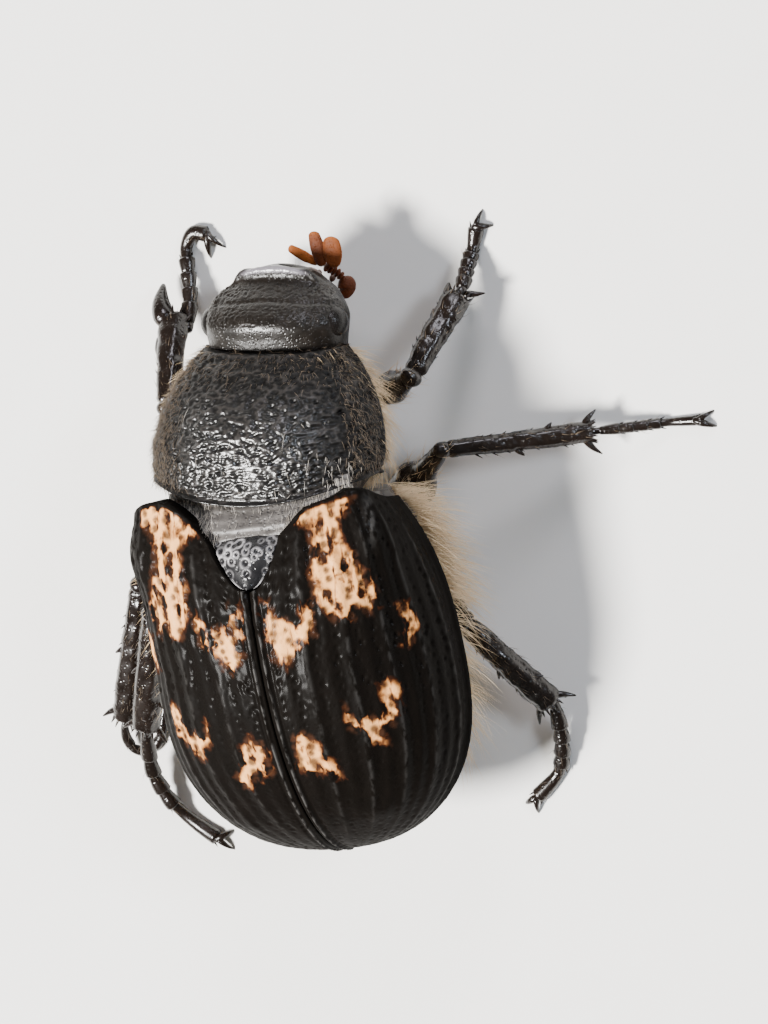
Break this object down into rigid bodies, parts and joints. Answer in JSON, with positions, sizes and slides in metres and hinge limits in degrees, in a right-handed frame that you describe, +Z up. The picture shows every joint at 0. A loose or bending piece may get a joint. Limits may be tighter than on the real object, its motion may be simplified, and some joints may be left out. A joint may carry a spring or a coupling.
{
  "type": "garden chafer beetle model",
  "caption": "Life-size still model of a small black chafer beetle with ribbed, cream-patched wing cases, standing on its feet.",
  "frame": {"origin": "on the floor, under the middle of the model's bounding box", "axes": "+Z up from the floor, -Y ahead of the head, +X to the beetle's left"},
  "size_m": [0.0114, 0.0102, 0.0045],
  "materials": {
    "black_horn": "shining black horn, finely pitted",
    "wing_case_black": "shining black with cream patches drawn in the render",
    "shield_grey": "grey-black, thickly pitted, with a soft sheen",
    "hairy_brown": "dark brown horn under pale hair",
    "antenna_orange": "orange-brown, slightly translucent",
    "eye_black": "glossy black, faceted",
    "mouth_brown": "dark red-brown horn"
  },
  "bodies": {
    "root": {"elytron_left": "wing_case_black", "elytron_right": "wing_case_black", "scutellum": "shield_grey", "pronotum": "shield_grey", "prosternum": "black_horn", "thorax": "hairy_brown", "abdomen": "hairy_brown", "pygidium": "hairy_brown", "head": "shield_grey", "eye_left": "eye_black", "eye_right": "eye_black", "mouthparts": "mouth_brown", "antenna_left": "antenna_orange", "antenna_right": "antenna_orange", "femur_front_left": "black_horn", "tibia_front_left": "black_horn", "tarsus_front_left": "black_horn", "femur_front_right": "black_horn", "tibia_front_right": "black_horn", "tarsus_front_right": "black_horn", "femur_middle_left": "black_horn", "tibia_middle_left": "black_horn", "tarsus_middle_left": "black_horn", "femur_middle_right": "black_horn", "tibia_middle_right": "black_horn", "tarsus_middle_right": "black_horn", "femur_hind_left": "black_horn", "tibia_hind_left": "black_horn", "tarsus_hind_left": "black_horn", "femur_hind_right": "black_horn", "tibia_hind_right": "black_horn", "tarsus_hind_right": "black_horn"}
  },
  "joints": []
}
